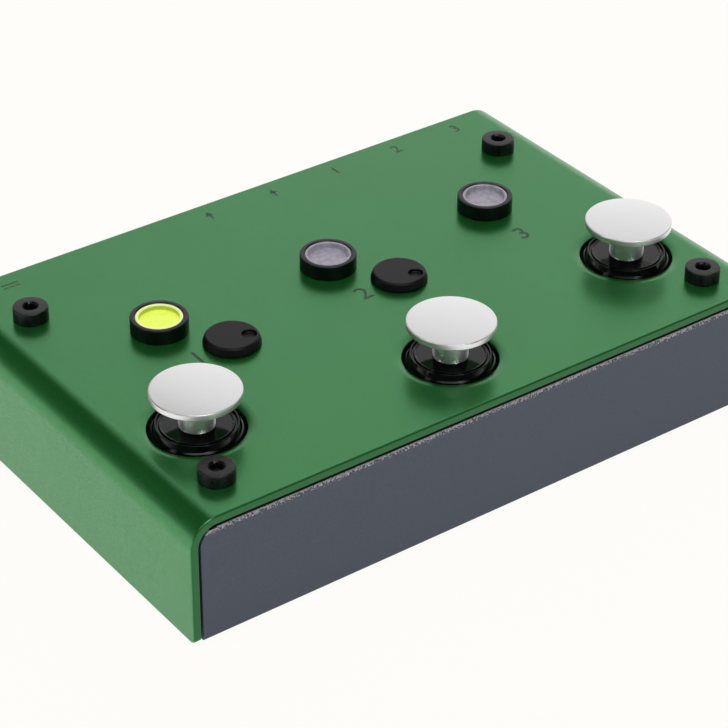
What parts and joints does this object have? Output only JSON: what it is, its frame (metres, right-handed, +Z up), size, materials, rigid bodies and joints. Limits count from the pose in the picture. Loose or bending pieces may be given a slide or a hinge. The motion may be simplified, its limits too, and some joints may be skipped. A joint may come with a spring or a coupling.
{
  "type": "guitar switcher pedal",
  "caption": "Low floor unit: folded green cover on a dark chassis, round metal footswitches, ringed lamps, small gain knobs and rear jacks.",
  "frame": {"origin": "on the floor, under the middle of the whole object", "axes": "+Z up, +Y to the back panel with the jacks, +X to the right"},
  "size_m": [0.172, 0.12, 0.0441],
  "materials": {
    "green_paint": "satin",
    "dark_coat": "fine texture",
    "rubber": "matte",
    "black_steel": "black oxide",
    "zinc_steel": "zinc plated",
    "satin_aluminium": "satin",
    "ivory_plastic": "matte",
    "gloss_black": "gloss",
    "black_plastic": "satin",
    "spring_steel": "bright",
    "clear_plastic": "clear",
    "lit_plastic": "lit yellow-green",
    "bright_metal": "bright",
    "knob_plastic": "satin",
    "blue_plastic": "matte",
    "contact_brass": "bright",
    "board_green": "gloss",
    "relay_plastic": "matte",
    "capacitor_blue": "gloss sleeve",
    "core_steel": "laminated",
    "copper": "enamelled wire"
  },
  "bodies": {
    "housing": {"top_cover": "green_paint", "chassis": "dark_coat", "rubber_feet": "rubber", "cover_screws": "black_steel", "rivet_nuts": "zinc_steel", "guide_bush_1": "gloss_black", "guide_bush_2": "gloss_black", "guide_bush_3": "gloss_black", "switch_tower_1": "black_plastic", "switch_tower_2": "black_plastic", "switch_tower_3": "black_plastic", "return_spring_1": "spring_steel", "return_spring_2": "spring_steel", "return_spring_3": "spring_steel", "tactile_switches": "black_plastic", "lamp_bezel_1": "black_plastic", "lamp_bezel_2": "black_plastic", "lamp_bezel_3": "black_plastic", "lamp_lens_1": "clear_plastic", "lamp_lens_2": "clear_plastic", "lamp_lens_3": "clear_plastic", "lamp_led_1": "lit_plastic", "lamp_led_2": "clear_plastic", "lamp_led_3": "clear_plastic", "lamp_reflectors": "bright_metal", "lamp_nuts": "zinc_steel", "pot_case_1": "blue_plastic", "pot_case_2": "blue_plastic", "jack_socket_1": "black_plastic", "jack_socket_2": "black_plastic", "jack_socket_3": "black_plastic", "jack_socket_4": "black_plastic", "jack_socket_5": "black_plastic", "jack_nuts": "zinc_steel", "jack_washers": "zinc_steel", "jack_blades": "contact_brass", "power_inlet": "black_plastic", "power_pin": "bright_metal", "main_board": "board_green", "board_posts": "zinc_steel", "board_screws": "zinc_steel", "relays": "relay_plastic", "chips": "black_plastic", "capacitors": "capacitor_blue", "transformer_core": "core_steel", "transformer_winding": "copper", "regulator": "black_plastic"},
    "foot_switch_1": {"foot_cap_1": "satin_aluminium", "plunger_1": "ivory_plastic"},
    "foot_switch_2": {"foot_cap_2": "satin_aluminium", "plunger_2": "ivory_plastic"},
    "foot_switch_3": {"foot_cap_3": "satin_aluminium", "plunger_3": "ivory_plastic"},
    "gain_control_1": {"gain_knob_1": "knob_plastic", "pot_shaft_1": "bright_metal"},
    "gain_control_2": {"gain_knob_2": "knob_plastic", "pot_shaft_2": "bright_metal"}
  },
  "joints": [
    {"name": "foot_switch_1_press", "type": "slide", "parent": "housing", "child": "foot_switch_1", "axis": [0, 0, -1], "range_m": [0, 0.003], "stiffness_N_per_m": 1200, "springref_m": -0.004, "deforming": ["return_spring_1"]},
    {"name": "foot_switch_2_press", "type": "slide", "parent": "housing", "child": "foot_switch_2", "axis": [0, 0, -1], "range_m": [0, 0.003], "stiffness_N_per_m": 1200, "springref_m": -0.004, "deforming": ["return_spring_2"]},
    {"name": "foot_switch_3_press", "type": "slide", "parent": "housing", "child": "foot_switch_3", "axis": [0, 0, -1], "range_m": [0, 0.003], "stiffness_N_per_m": 1200, "springref_m": -0.004, "deforming": ["return_spring_3"]},
    {"name": "gain_control_1_turn", "type": "hinge", "parent": "housing", "child": "gain_control_1", "pos_m": [-0.03848, -0.00535, 0.0336], "axis": [0, 0, 1], "range_deg": [-31, 269]},
    {"name": "gain_control_2_turn", "type": "hinge", "parent": "housing", "child": "gain_control_2", "pos_m": [0.01077, -0.00535, 0.0336], "axis": [0, 0, 1], "range_deg": [-11, 289]}
  ]
}
